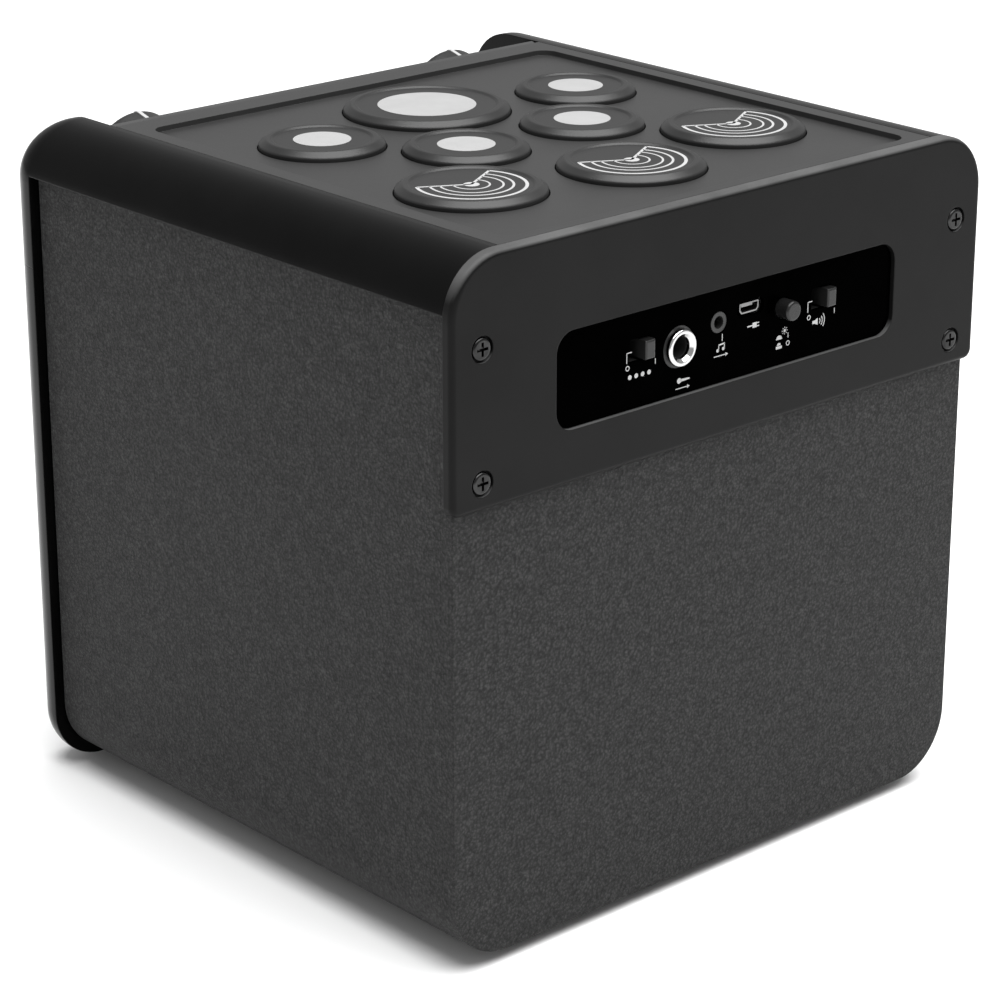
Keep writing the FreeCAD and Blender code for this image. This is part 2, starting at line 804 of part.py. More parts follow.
def switch_slot(x, grow=0.0):
    wide = float(S.slide_cap_wide) / 2 + float(S.slide_travel) / 2 + 0.5 + grow
    tall = float(S.slide_cap_tall) / 2 + 0.6 + grow
    return rectangle((float(x) - wide, float(x) + wide), (float(S.switch_z) - tall, float(S.switch_z) + tall), 0.8)


def socket_openings(grow):
    slots = [
        switch_slot(S.drum_switch_x, grow),
        switch_slot(S.speaker_switch_x, grow),
        rectangle((S.usb_x - USB_HALF - grow, S.usb_x + USB_HALF + grow),
                  (S.usb_z - USB_TALL - grow, S.usb_z + USB_TALL + grow), 2),
    ]
    rounds = [
        (S.mic_x, S.mic_z, S.mic_nose + 0.2 + grow),
        (S.aux_x, S.aux_z, S.aux_nose + 0.3 + grow),
        (S.light_x, S.light_z, S.light_radius + 0.5 + grow),
    ]
    return slots, rounds


def make_rear_window():
    slots, rounds = socket_openings(0)
    pane = rectangle((-S.window_half, S.window_half), (S.window_low, S.window_high), S.window_round)
    sub_part("rear_window", prism("XZ_Plane", (0, S.window_thick), [pane] + slots, rounds))


SHELF_HALF = 50.0
SHELF_DEEP = 42.0
JACK_SCREWS = [(side * 46.0, -38.0) for side in (-1, 1)]


def make_jack_frame():
    slots, rounds = socket_openings(0)
    tight = 0.3
    plug = rectangle((tight - JACK_HALF, JACK_HALF - tight), (JACK_LOW + tight, JACK_HIGH - tight), 3)
    front = prism("XZ_Plane", (-S.board_thick - 1, 0), [plug] + slots, rounds)
    flange = rectangle((-JACK_HALF - 3, JACK_HALF + 3), (JACK_LOW - 2.5, JACK_HIGH + 2.5), 3)
    back = prism("XZ_Plane", (-S.board_thick - 2.5, -S.board_thick), [flange] + slots, rounds)
    shelf_low = S.jack_board_z + S.circuit_thick
    shelf = box((-SHELF_HALF, SHELF_HALF), (-SHELF_DEEP, -S.board_thick - 1), (shelf_low, shelf_low + 2.5))
    drilled = [rod("z", spot, (shelf_low - 1, shelf_low + 5), 1.05) for spot in JACK_SCREWS]
    sub_part("jack_frame", cut(fuse(front, back, shelf), *drilled))


BEHIND = S.board_thick + 2.7


def make_jack_board():
    top = S.jack_board_z + S.circuit_thick
    board = box((-SHELF_HALF, SHELF_HALF), (-SHELF_DEEP, -BEHIND), (S.jack_board_z, top))
    holes = [rod("z", spot, (S.jack_board_z - 1, top + 1), 1.2) for spot in JACK_SCREWS]
    sub_part("jack_board", cut(board, *holes))


def make_mic_jack():
    spot = (S.mic_x, S.mic_z)
    body = box((S.mic_x - 8.5, S.mic_x + 8.5), (-36, -BEHIND), (S.mic_z - 8.5, S.jack_board_z))
    nose = rod("y", spot, (-BEHIND - 1, 0.9), S.mic_nose)
    bore = rod("y", spot, (-32, 5), S.mic_bore)
    sub_part("mic_jack", cut(fuse(body, nose), bore))
    ring_radius = S.mic_nose - S.mic_step
    lip = turned([
        (S.mic_bore, 0.9),
        (ring_radius, 0.9),
        (ring_radius, 2.9, 0.6),
        (S.mic_bore + 0.9, 2.9, 0.3),
        (S.mic_bore, 2.0),
    ])
    lip.Placement = FreeCAD.Placement(Vector(), Rotation(Vector(1, 0, 0), -90))
    seat(lip, S.mic_x, 0, S.mic_z)
    sub_part("mic_ferrule", group(lip))


def make_aux_jack():
    spot = (S.aux_x, S.aux_z)
    body = box((S.aux_x - 3.5, S.aux_x + 3.5), (-20, -BEHIND), (S.aux_z - 4.2, S.jack_board_z))
    nose = rod("y", spot, (-BEHIND - 1, 1.2), S.aux_nose)
    sub_part("aux_jack", cut(fuse(body, nose), rod("y", spot, (-18, 5), S.aux_bore)))


def make_usb_port():
    low, high = S.usb_z - 1.5, S.usb_z + 1.5
    shell = prism("XZ_Plane", (-BEHIND - 6, 0.9), [
        [
            (S.usb_x - 3.0, low, 0.3),
            (S.usb_x + 3.0, low, 0.3),
            (S.usb_x + 3.75, low + 0.9, 0.3),
            (S.usb_x + 3.75, high, 0.3),
            (S.usb_x - 3.75, high, 0.3),
            (S.usb_x - 3.75, low + 0.9, 0.3),
        ],
    ])
    mouth = prism("XZ_Plane", (-6, 2), [[
        (S.usb_x - 2.75, low + 0.4),
        (S.usb_x + 2.75, low + 0.4),
        (S.usb_x + 3.35, low + 1.1),
        (S.usb_x + 3.35, high - 0.4),
        (S.usb_x - 3.35, high - 0.4),
        (S.usb_x - 3.35, low + 1.1),
    ]])
    tongue = box((S.usb_x - 2.2, S.usb_x + 2.2), (-7, 0), (S.usb_z + 0.1, S.usb_z + 0.7))
    mount = box((S.usb_x - 4.5, S.usb_x + 4.5), (-BEHIND - 6, -BEHIND), (high - 0.2, S.jack_board_z))
    sub_part("usb_port", fuse(cut(shell, mouth), tongue, mount))


def make_slide_switch(name, x):
    wide = S.slide_cap_wide / 2
    tall = S.slide_cap_tall / 2
    reach = S.slide_travel / 2
    z = S.switch_z
    front = -BEHIND
    body = box((x - 6.5, x + 6.5), (front - 6, front), (z - 4.2, S.jack_board_z))
    track = box((x - wide - reach - 0.3, x + wide + reach + 0.3), (front - 3.5, front + 1),
                (z - 1.6, z + 1.6))
    sub_part(name, cut(body, track))
    rest = x - reach
    stem = box((rest - wide, rest + wide), (front - 3.3, front + 1.0), (z - 1.5, z + 1.5))
    knob = box((rest - wide, rest + wide), (front + 0.3, S.window_thick + S.slide_proud), (z - tall, z + tall))
    edge = float(S.window_thick + S.slide_proud) - 1e-6

    def radius(middle, direction):
        return 0.6 if middle.y > edge else None

    sub_part(name + "_cap", fuse(rounded(knob, radius), stem))


def make_light_switch():
    spot = (S.light_x, S.light_z)
    front = -BEHIND
    body = box((S.light_x - 4.2, S.light_x + 4.2), (front - 9, front), (S.light_z - 4.2, S.jack_board_z))
    well = rod("y", spot, (front - 5, front + 1), 1.8)
    sub_part("light_switch", cut(body, well))
    start = front + S.light_travel + S.rest_gap
    button = turned([
        (0, start - 5.0),
        (1.6, start - 5.0),
        (1.6, start),
        (S.light_radius, start),
        (S.light_radius, REAR_MOST, 0.8),
        (0, REAR_MOST),
    ])
    button.Placement = FreeCAD.Placement(Vector(), Rotation(Vector(1, 0, 0), -90))
    seat(button, S.light_x, 0, S.light_z)
    sub_part("light_button", group(button))


def make_rear_screws():
    screws = []
    for spot in REAR_SCREWS:
        x, z = spot
        seat_level = S.window_thick
        head = turned([
            (0, -SCREW_LONG),
            (SCREW_SHANK, -SCREW_LONG),
            (SCREW_SHANK, seat_level),
            (3.2, seat_level),
            (3.2, seat_level + 1.3, 0.9),
            (0, seat_level + 1.3),
        ])
        head.Placement = FreeCAD.Placement(Vector(), Rotation(Vector(1, 0, 0), -90))
        seat(head, x, 0, z)
        deep = (seat_level + 0.4, seat_level + 3)
        cross = [
            box((x - 1.9, x + 1.9), deep, (z - 0.4, z + 0.4)),
            box((x - 0.4, x + 0.4), deep, (z - 1.9, z + 1.9)),
        ]
        screws.append(cut(head, *cross))
    sub_part("rear_screws", group(*screws))


# ---------------------------------------------------------------- loudspeaker

def face_rear(item, lift):
    """Stand a turned piece on the speaker axis, its height running to the rear."""
    item.Placement = FreeCAD.Placement(Vector(), Rotation(Vector(1, 0, 0), -90))
    seat(item, 0, lift, S.speaker_z)
    return item


MOTOR = 30.0
COIL_GAP = 0.5


def make_loudspeaker():
    seat_y = -S.cab_depth
    rim = S.basket_hole - 0.8
    basket = turned([
        (rim - 2.2, -3),
        (S.basket_radius, -3),
        (S.basket_radius, 0),
        (rim, 0),
        (32, MOTOR),
        (16, MOTOR),
        (16, MOTOR - 1.6),
        (31, MOTOR - 1.6),
        (rim - 2.2, -0.8),
    ])
    bars = [
        box((-12, 12), (-70, 70), (8, 24)),
        box((-70, 70), (-12, 12), (8, 24)),
    ]
    holes = [rod("z", spot, (-5, 2), 1.45) for spot in spaced(6, float(S.basket_radius) - 3.5, 30)]
    sub_part("woofer_basket", group(face_rear(cut(basket, *bars, *holes), seat_y)))
    yoke = turned([
        (0, MOTOR),
        (12.4, MOTOR),
        (12.4, MOTOR + 16),
        (31, MOTOR + 16),
        (31, MOTOR + 20),
        (0, MOTOR + 20),
    ])
    top_plate = turned([
        (12.4 + 3 * COIL_GAP, MOTOR),
        (30, MOTOR),
        (30, MOTOR + 3.5),
        (12.4 + 3 * COIL_GAP, MOTOR + 3.5),
    ])
    sub_part("woofer_yoke", group(face_rear(yoke, seat_y), face_rear(top_plate, seat_y)))
    magnet = turned([(17, MOTOR + 3.5), (34, MOTOR + 3.5), (34, MOTOR + 16), (17, MOTOR + 16)])
    sub_part("woofer_magnet", group(face_rear(magnet, seat_y)))
    edge = S.cone_radius
    cone = turned([
        (12.4 + COIL_GAP, 16.9),
        (edge - 0.6, -2.2),
        (edge, -1.2),
        (12.4 + 2 * COIL_GAP, 18.2),
        (12.4 + 2 * COIL_GAP, MOTOR + 5),
        (12.4 + COIL_GAP, MOTOR + 5),
    ])
    sub_part("woofer_cone", group(face_rear(cone, seat_y)))
    dome = turned([
        (0, 8.6),
        (6, 9.2, 8),
        (11, 12.0, 6),
        (14.2, 15.9),
        (13.4, 15.9),
        (10.6, 12.8, 6),
        (5.8, 10.0, 8),
        (0, 9.4),
    ])
    sub_part("dust_cap", group(face_rear(dome, seat_y)))
    roll = turned([
        (rim + 4, -3),
        (rim + 4, -3.7),
        (rim - 1.6, -3.7),
        (rim - 1.6, -7.0, 2.6),
        (edge + 0.6, -7.0, 2.6),
        (edge + 0.6, -2.0),
        (edge + 1.2, -2.0),
        (edge + 1.2, -6.4, 2.0),
        (rim - 2.2, -6.4, 2.0),
        (rim - 2.2, -3),
    ])
    sub_part("woofer_surround", group(face_rear(roll, seat_y)))
    screws = []
    for x, z in spaced(6, float(S.basket_radius) - 3.5, 30):
        spot = (x, S.speaker_z + z)
        head = rod("y", spot, (seat_y - 4.6, seat_y - 3), 2.8)
        shank = rod("y", spot, (seat_y - 3.5, seat_y + 7.5), 1.4)
        screws.append(fuse(head, shank))
    sub_part("woofer_screws", group(*screws))


def make_lamp_and_grille():
    inside = -TRIM_FRONT + S.trim_wall
    back = inside + 2.4
    tube = ring("y", (0, S.speaker_z), (-TRIM_FRONT + 0.4, back), S.lamp_outer, S.lamp_inner)
    flange = ring("y", (0, S.speaker_z), (inside, back), S.lamp_outer + 3.5, S.lamp_inner)
    sub_part("light_ring", fuse(tube, flange))
    ears = []
    tools = [rod("y", (0, S.speaker_z), (back - 1, back + 3), S.grille_radius - 3)]
    for side in (-1, 1):
        for up in (-1, 1):
            spot = (side * LED_EAR, S.speaker_z + up * LED_EAR)
            ears.append(rod("y", spot, (back, back + S.circuit_thick), LED_EAR_RADIUS))
            tools.append(rod("y", spot, (back - 1, back + 3), 1.2))
    disc = rod("y", (0, S.speaker_z), (back, back + S.circuit_thick), S.lamp_outer + 3.5)
    sub_part("led_board", cut(fuse(disc, *ears), *tools))
    face = -TRIM_FRONT + 1.0
    holes = []
    pitch = 7.6
    for row in range(-8, 9):
        for column in range(-8, 9):
            x = (column + 0.5 * (row % 2)) * pitch
            z = row * pitch * math.sqrt(3) / 2
            if math.hypot(x, z) < float(S.grille_radius) - 6:
                holes.append((x, float(S.speaker_z) + z, 2.5))
    disc = prism("XZ_Plane", (face, face + 1.2), [], [(0, S.speaker_z, S.grille_radius)] + holes)
    skirt = ring("y", (0, S.speaker_z), (face + 0.6, back), S.grille_radius, S.grille_radius - 1.4)
    sub_part("grille", fuse(disc, skirt))


# ---------------------------------------------------------------- inside

def make_amplifier():
    board = box((-AMP_HALF, AMP_HALF), (-AMP_FRONT, -AMP_REAR), (AMP_TOP - S.circuit_thick, AMP_TOP))
    holes = [rod("z", spot, (AMP_TOP - 5, AMP_TOP + 1), 1.2) for spot in AMP_SCREWS]
    under = AMP_TOP - S.circuit_thick
    parts = [
        rod("z", (-40, -110), (under - 16, under), 5),
        rod("z", (-26, -110), (under - 16, under), 5),
        rod("z", (36, -128), (under - 12, under), 4),
        box((0, 14), (-130, -118), (under - 10, under)),
        box((24, 40), (-104, -92), (under - 2, under)),
    ]
    base = box((-20, 16), (-108, -88), (under - 5, under))
    fins = [box((x, x + 1.6), (-108, -88), (under - 16, under - 4)) for x in (-20, -12.8, -5.6, 1.6, 8.8)]
    sub_part("main_board", group(cut(board, *holes), *parts, fuse(base, *fins)))


CELL_RADIUS = 9.2
CELL_HALF = 33.0
CELL_Y = (-46.0, -65.0)


def make_battery():
    floor = S.cab_wall
    middle = floor + 2 + CELL_RADIUS + 0.1
    base = box((-37, 37), (-76.5, -34.5), (floor, floor + 2))
    walls = [
        box((-37, -34.5), (-76.5, -34.5), (floor + 1, floor + 14)),
        box((34.5, 37), (-76.5, -34.5), (floor + 1, floor + 14)),
        box((-37, 37), (-76.5, -74.6), (floor + 1, floor + 10)),
        box((-37, 37), (-36.4, -34.5), (floor + 1, floor + 10)),
    ]
    sub_part("battery_tray", fuse(base, *walls))
    cells = [rod("x", (y, middle), (-CELL_HALF, CELL_HALF), CELL_RADIUS) for y in CELL_Y]
    sub_part("battery_cells", group(*cells))


def make_board_screws():
    """All small board screws: pad board, main board, sockets and lamp ring."""
    screws = []
    for spot in DECK_SCREWS:
        head = rod("z", spot, (CIRCUIT_TOP, CIRCUIT_TOP + 1.2), 2.2)
        screws.append(fuse(head, rod("z", spot, (DECK_TOP - 2, CIRCUIT_TOP + 0.5), 1.0)))
    under = AMP_TOP - S.circuit_thick
    for spot in AMP_SCREWS:
        head = rod("z", spot, (under - 1.2, under), 2.2)
        screws.append(fuse(head, rod("z", spot, (under - 0.5, AMP_TOP + 4.5), 1.0)))
    for spot in JACK_SCREWS:
        head = rod("z", spot, (S.jack_board_z - 1.2, S.jack_board_z), 2.2)
        screws.append(fuse(head, rod("z", spot, (S.jack_board_z - 0.5, S.jack_board_z + 4), 1.0)))
    back = -TRIM_FRONT + S.trim_wall + 2.4 + S.circuit_thick
    for side in (-1, 1):
        for up in (-1, 1):
            spot = (side * LED_EAR, S.speaker_z + up * LED_EAR)
            head = rod("y", spot, (back, back + 1.2), 2.2)
            screws.append(fuse(head, rod("y", spot, (back - 3.8, back + 0.5), 1.0)))
    sub_part("board_screws", group(*screws))
    screws = []
    for spot in PANEL_SCREWS:
        low = -CIRCUIT_BACK - S.circuit_thick
        head = rod("z", spot, (low - 1.2, low), 2.2)
        screws.append(fuse(head, rod("z", spot, (low - 0.5, low + 6), 1.0)))
    sub_part("panel_screws", group(*screws), place_on_panel)


make_cabinet_shell()
make_rear_board()
make_front_baffle()
make_feet()
make_front_bezel()
make_top_housing()
make_pad_plate()
make_pads()
make_pad_board()
make_control_panel()
make_display()
make_control_board()
make_buttons()
make_knobs()
make_rear_plate()
make_rear_window()
make_jack_frame()
make_jack_board()
make_mic_jack()
make_aux_jack()
make_usb_port()
make_slide_switch("drum_switch", S.drum_switch_x)
make_slide_switch("speaker_switch", S.speaker_switch_x)
make_light_switch()
make_rear_screws()
make_loudspeaker()
make_lamp_and_grille()
make_amplifier()
make_battery()
make_board_screws()
doc.recompute()

# ---------------------------------------------------------------- checks and export

for item in doc.Objects:
    for fault in ("Invalid", "Error"):
        if fault in item.State:
            raise RuntimeError("%s (%s) is %s" % (item.Label, item.Name, fault))
os.makedirs("parts", exist_ok=True)
for item in SUB_PARTS:
    shape = item.Shape
    if shape.isNull() or not shape.isValid() or not shape.Solids:
        raise RuntimeError("%s has no valid solid" % item.Label)
    shape.exportStep("parts/%s.step" % item.Label)
    print("%-24s solids %2d volume %10.1f" % (item.Label, len(shape.Solids), shape.Volume))
whole = Part.makeCompound([item.Shape for item in SUB_PARTS]).BoundBox
print("overall", whole)
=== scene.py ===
import math

import bmesh
import bpy
from mathutils import Matrix, Vector


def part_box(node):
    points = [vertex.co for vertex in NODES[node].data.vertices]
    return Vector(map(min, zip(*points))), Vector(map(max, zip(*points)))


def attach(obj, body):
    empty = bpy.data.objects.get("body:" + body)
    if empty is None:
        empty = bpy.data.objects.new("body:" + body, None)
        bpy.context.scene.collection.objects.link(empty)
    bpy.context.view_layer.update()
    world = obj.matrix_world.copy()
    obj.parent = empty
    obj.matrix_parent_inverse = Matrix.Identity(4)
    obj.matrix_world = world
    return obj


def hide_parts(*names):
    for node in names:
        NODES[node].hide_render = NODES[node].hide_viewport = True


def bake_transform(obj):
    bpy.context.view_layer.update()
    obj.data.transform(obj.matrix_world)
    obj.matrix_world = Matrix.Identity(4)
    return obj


# Looks of a drum pad loudspeaker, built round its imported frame.
# Metres, in the model's own frame: +Z up, +Y towards the socket side.

MM = 0.001
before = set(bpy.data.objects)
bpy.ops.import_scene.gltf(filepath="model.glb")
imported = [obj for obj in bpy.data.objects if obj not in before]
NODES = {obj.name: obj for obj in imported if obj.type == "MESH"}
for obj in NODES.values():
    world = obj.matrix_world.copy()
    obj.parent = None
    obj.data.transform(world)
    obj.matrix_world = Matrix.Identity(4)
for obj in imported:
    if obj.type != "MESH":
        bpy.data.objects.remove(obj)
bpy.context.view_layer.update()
CASE = "case"

PADS = {
    "pad_bass": 14.65 * MM,
    "pad_drum_outer_left": 8.3 * MM,
    "pad_drum_outer_right": 8.3 * MM,
    "pad_drum_inner_left": 8.3 * MM,
    "pad_drum_inner_right": 8.3 * MM,
}
CYMBALS = ("pad_cymbal_left", "pad_cymbal_centre", "pad_cymbal_right")
PAD_DISH = 0.5 * MM
INK = 0.12 * MM
SINK = 0.04 * MM


# ---------------------------------------------------------------- materials

class Look:
    """A node material: one Principled shader and the textures that feed it."""

    def __init__(self, name, **sockets):
        self.material = bpy.data.materials.new(name)
        self.material.use_nodes = True
        self.tree = self.material.node_tree
        self.shader = self.tree.nodes["Principled BSDF"]
        for key, value in sockets.items():
            self.shader.inputs[key.replace("_", " ")].default_value = value
        self.place = self.node("TexCoord").outputs["Object"]
        self.edge = None

    def soften(self, radius):
        """Sharp edges catch light as if rounded to this radius."""
        self.edge = self.node("Bevel", {"Radius": radius}, samples=4).outputs["Normal"]

    def node(self, kind, inputs=None, **attributes):
        node = self.tree.nodes.new("ShaderNode" + kind)
        for key, value in attributes.items():
            setattr(node, key, value)
        for key, value in (inputs or {}).items():
            if isinstance(value, bpy.types.NodeSocket):
                self.tree.links.new(value, node.inputs[key])
            else:
                node.inputs[key].default_value = value
        return node

    def feed(self, socket, value):
        self.tree.links.new(value, self.shader.inputs[socket])

    def noise(self, size, detail=3.0, rough=0.55, place=None):
        """Cloudy pattern whose blobs are about size metres across."""
        inputs = {"Vector": place or self.place, "Scale": 1 / size, "Detail": detail, "Roughness": rough}
        return self.node("TexNoise", inputs).outputs["Fac"]

    def pebbles(self, size, feature="F1"):
        """Distance to the middle of cells about size metres across."""
        inputs = {"Vector": self.place, "Scale": 1 / size}
        return self.node("TexVoronoi", inputs, feature=feature).outputs["Distance"]

    def span(self, value, low, high, to_low, to_high):
        inputs = {"Value": value, "From Min": low, "From Max": high, "To Min": to_low, "To Max": to_high}
        return self.node("MapRange", inputs).outputs["Result"]

    def math(self, operation, first, second):
        return self.node("Math", {0: first, 1: second}, operation=operation).outputs["Value"]

    def ramp(self, value, *stops):
        """Colours along value; each stop is (position, (r, g, b))."""
        node = self.node("ValToRGB", {"Fac": value})
        ends = node.color_ramp.elements
        while len(ends) < len(stops):
            ends.new(0.5)
        for end, (position, colour) in zip(ends, stops):
            end.position = position
            end.color = (*colour, 1)
        return node.outputs["Color"]

    def bump(self, height, depth, strength=1.0):
        """Relief of depth metres on the softened surface."""
        inputs = {"Height": height, "Distance": depth, "Strength": strength}
        if self.edge:
            inputs["Normal"] = self.edge
        return self.node("Bump", inputs).outputs["Normal"]


def grey(level):
    return (level, level, level)


def moulded(name, dark, light, rough, grain, depth, specular=0.5, edge=0.25 * MM):
    """Moulded plastic or rubber: cloudy tone, uneven sheen and a fine surface grain."""
    look = Look(name, Specular_IOR_Level=specular)
    look.soften(edge)
    cloud = look.noise(22 * MM, 4.0)
    look.feed("Base Color", look.ramp(cloud, (0.3, dark), (0.7, light)))
    fine = look.noise(grain, 2.0)
    sheen_and_painted_highlight = look.math("ADD", look.math("MULTIPLY", cloud, 0.6), look.math("MULTIPLY", fine, 0.4))
    look.feed("Roughness", look.span(sheen_and_painted_highlight, 0.25, 0.75, rough - 0.05, rough + 0.06))
    look.feed("Normal", look.bump(fine, depth))
    return look.material


def metal(name, dark, light, rough, brushed=1.0, grain=0.3 * MM, depth=0.01 * MM):
    """Metal with faint cloudy staining and fine tool marks, drawn out by brushed."""
    look = Look(name, Metallic=1.0)
    stretch = look.node("Mapping", {"Vector": look.place, "Scale": (1.0, 1.0, brushed)}).outputs["Vector"]
    marks = look.noise(grain, 3.0, 0.6, stretch)
    cloud = look.noise(6 * MM, 3.0)
    look.feed("Base Color", look.ramp(cloud, (0.3, dark), (0.7, light)))
    look.feed("Roughness", look.span(marks, 0.3, 0.7, rough * 0.75, rough * 1.3))
    look.feed("Normal", look.bump(marks, depth, 0.5))
    return look.material


def vinyl():
    """Black vinyl wrap with a pressed pebble grain."""
    look = Look("vinyl_wrap", Specular_IOR_Level=0.15)
    wander = look.noise(3.0 * MM, 2.0)
    cells = look.pebbles(0.85 * MM, "SMOOTH_F1")
    fine = look.noise(0.28 * MM, 3.0, 0.65)
    height = look.math("ADD", look.math("MULTIPLY", cells, -0.8), look.math("MULTIPLY", fine, 0.9))
    height = look.math("ADD", height, look.math("MULTIPLY", wander, 0.5))
    look.soften(0.5 * MM)
    look.feed("Base Color", look.ramp(height, (0.1, grey(0.010)), (0.4, grey(0.022)), (0.7, grey(0.052))))
    look.feed("Roughness", look.span(fine, 0.3, 0.7, 0.66, 0.5))
    look.feed("Normal", look.bump(height, 0.30 * MM, 1.0))
    return look.material


def plate():
    """Matte moulded plate; surfaces facing up, such as its rounded top edges, get a paler painted highlight.
    """
    look = Look("fine_matte_plate", Specular_IOR_Level=0.09)
    look.soften(0.5 * MM)
    cloud = look.noise(22 * MM, 4.0)
    fine = look.noise(0.4 * MM, 2.0)
    normal = look.node("NewGeometry").outputs["Normal"]
    upward = look.node("SeparateXYZ", {"Vector": normal}).outputs["Z"]
    # Painted highlight: the more a surface faces up, the paler its base colour, as if lit from above; the
    # cloud varies it a little.
    sheen_and_painted_highlight = look.math("MULTIPLY", look.span(upward, 0.3, 0.75, 0.0, 1.0), look.span(cloud, 0.2, 0.6, 0.8, 1.0))
    face = look.ramp(cloud, (0.3, grey(0.0045)), (0.7, grey(0.0062)))
    # edge is the pale painted highlight colour for up-facing surfaces; face is the plate's own dark colour.
    edge = look.ramp(cloud, (0.3, grey(0.07)), (0.7, grey(0.09)))
    look.feed("Base Color", look.node("Mix", {0: sheen_and_painted_highlight, 6: face, 7: edge}, data_type="RGBA").outputs[2])
    look.feed("Roughness", look.span(fine, 0.25, 0.75, 0.36, 0.47))
    look.feed("Normal", look.bump(fine, 0.014 * MM))
    return look.material


def gloss():
    """High-gloss black moulding with faint waviness and a few dull smears."""
    look = Look("gloss_moulding", Specular_IOR_Level=0.09)
    look.soften(0.4 * MM)
    smear = look.noise(35 * MM, 5.0, 0.6)
    look.feed("Base Color", look.ramp(smear, (0.3, grey(0.0018)), (0.75, grey(0.0030))))
    look.feed("Roughness", look.span(smear, 0.35, 0.7, 0.16, 0.24))
    look.feed("Normal", look.bump(look.noise(4 * MM, 2.0), 0.01 * MM, 0.3))
    return look.material


def window_glass():
    """Smoked acrylic: near black, with a very faint haze."""
    look = Look("smoked_window", Specular_IOR_Level=0.001)
    haze = look.noise(18 * MM, 4.0)
    look.feed("Base Color", look.ramp(haze, (0.3, grey(0.0001)), (0.8, grey(0.0004))))
    look.feed("Roughness", look.span(haze, 0.3, 0.7, 0.18, 0.3))
    look.feed("Normal", look.bump(look.noise(2.5 * MM, 2.0), 0.004 * MM, 0.2))
    return look.material


def circuit():
    """Green solder mask over copper, with tracks and plated spots."""
    look = Look("solder_mask", Coat_Weight=0.4, Coat_Roughness=0.2)
    tracks = look.node("TexBrick", {"Vector": look.place, "Scale": 160.0, "Mortar Size": 0.012,
                                    "Color1": (0, 0, 0, 1), "Color2": (0.15, 0.15, 0.15, 1),
                                    "Mortar": (1, 1, 1, 1)}, offset=0.37).outputs["Fac"]
    pads = look.span(look.pebbles(3.2 * MM), 0.12, 0.16, 1.0, 0.0)
    green = look.ramp(tracks, (0.0, (0.006, 0.06, 0.022)), (1.0, (0.02, 0.14, 0.05)))
    mixed = look.node("Mix", {0: pads, 6: green, 7: (0.42, 0.33, 0.14, 1)}, data_type="RGBA").outputs[2]
    look.feed("Base Color", mixed)
    look.feed("Roughness", look.span(pads, 0.0, 1.0, 0.42, 0.25))
    look.feed("Normal", look.bump(tracks, 0.05 * MM, 0.6))
    return look.material


def fibre_board():
    """Bare medium-density board: short pale and dark fibres."""
    look = Look("bare_fibre_board", Specular_IOR_Level=0.2)
    fibres = look.noise(0.8 * MM, 6.0, 0.75)
    cloud = look.noise(15 * MM, 3.0)
    both = look.math("ADD", look.math("MULTIPLY", fibres, 0.65), look.math("MULTIPLY", cloud, 0.35))
    look.feed("Base Color", look.ramp(both, (0.3, (0.17, 0.10, 0.05)), (0.7, (0.38, 0.26, 0.15))))
    look.feed("Roughness", look.span(fibres, 0.3, 0.7, 0.75, 0.95))
    look.feed("Normal", look.bump(fibres, 0.08 * MM, 0.7))
    return look.material


def paper_cone():
    """Pressed paper pulp, dyed black, with faint fibres and rings."""
    look = Look("pulp_cone", Specular_IOR_Level=0.3)
    pulp = look.noise(1.1 * MM, 6.0, 0.8)
    rings = look.node("TexWave", {"Vector": look.place, "Scale": 60.0, "Distortion": 0.6},
                      wave_type="RINGS", rings_direction="Y").outputs["Fac"]
    look.feed("Base Color", look.ramp(pulp, (0.3, grey(0.014)), (0.72, grey(0.05))))
    look.feed("Roughness", look.span(pulp, 0.3, 0.7, 0.65, 0.9))
    height = look.math("ADD", look.math("MULTIPLY", pulp, 0.7), look.math("MULTIPLY", rings, 0.3))
    look.feed("Normal", look.bump(height, 0.1 * MM, 0.6))
    return look.material


def diffuser():
    """Milky lamp ring with faint flow clouds."""
    look = Look("milky_diffuser", Transmission_Weight=0.15, Specular_IOR_Level=0.5, Subsurface_Weight=0.2)
    look.shader.inputs["Subsurface Scale"].default_value = 4 * MM
    cloud = look.noise(9 * MM, 4.0)
    look.feed("Base Color", look.ramp(cloud, (0.3, grey(0.66)), (0.7, grey(0.78))))
    look.feed("Roughness", look.span(cloud, 0.3, 0.7, 0.34, 0.48))
    look.feed("Normal", look.bump(look.noise(0.4 * MM, 2.0), 0.01 * MM, 0.4))
    return look.material


def shrink_wrap():
    """Blue cell wrap: glossy film with fine wrinkles."""
    look = Look("cell_shrink_wrap", Coat_Weight=0.6, Coat_Roughness=0.15)
    creases = look.noise(2.2 * MM, 4.0, 0.7)
    look.feed("Base Color", look.ramp(creases, (0.3, (0.015, 0.07, 0.22)), (0.7, (0.03, 0.12, 0.34))))
    look.feed("Roughness", look.span(creases, 0.3, 0.7, 0.25, 0.4))
    look.feed("Normal", look.bump(creases, 0.05 * MM, 0.5))
    return look.material


def ink(name, dark, light, specular=0.4):
    """Printed or inlaid pale ink, slightly speckled."""
    look = Look(name, Specular_IOR_Level=specular)
    speck = look.noise(0.5 * MM, 3.0, 0.7)
    cloud = look.noise(7 * MM, 2.0)
    both = look.math("ADD", look.math("MULTIPLY", speck, 0.5), look.math("MULTIPLY", cloud, 0.5))
    look.feed("Base Color", look.ramp(both, (0.3, dark), (0.7, light)))
    look.feed("Roughness", look.span(speck, 0.3, 0.7, 0.48, 0.62))
    look.feed("Normal", look.bump(speck, 0.01 * MM, 0.5))
    return look.material


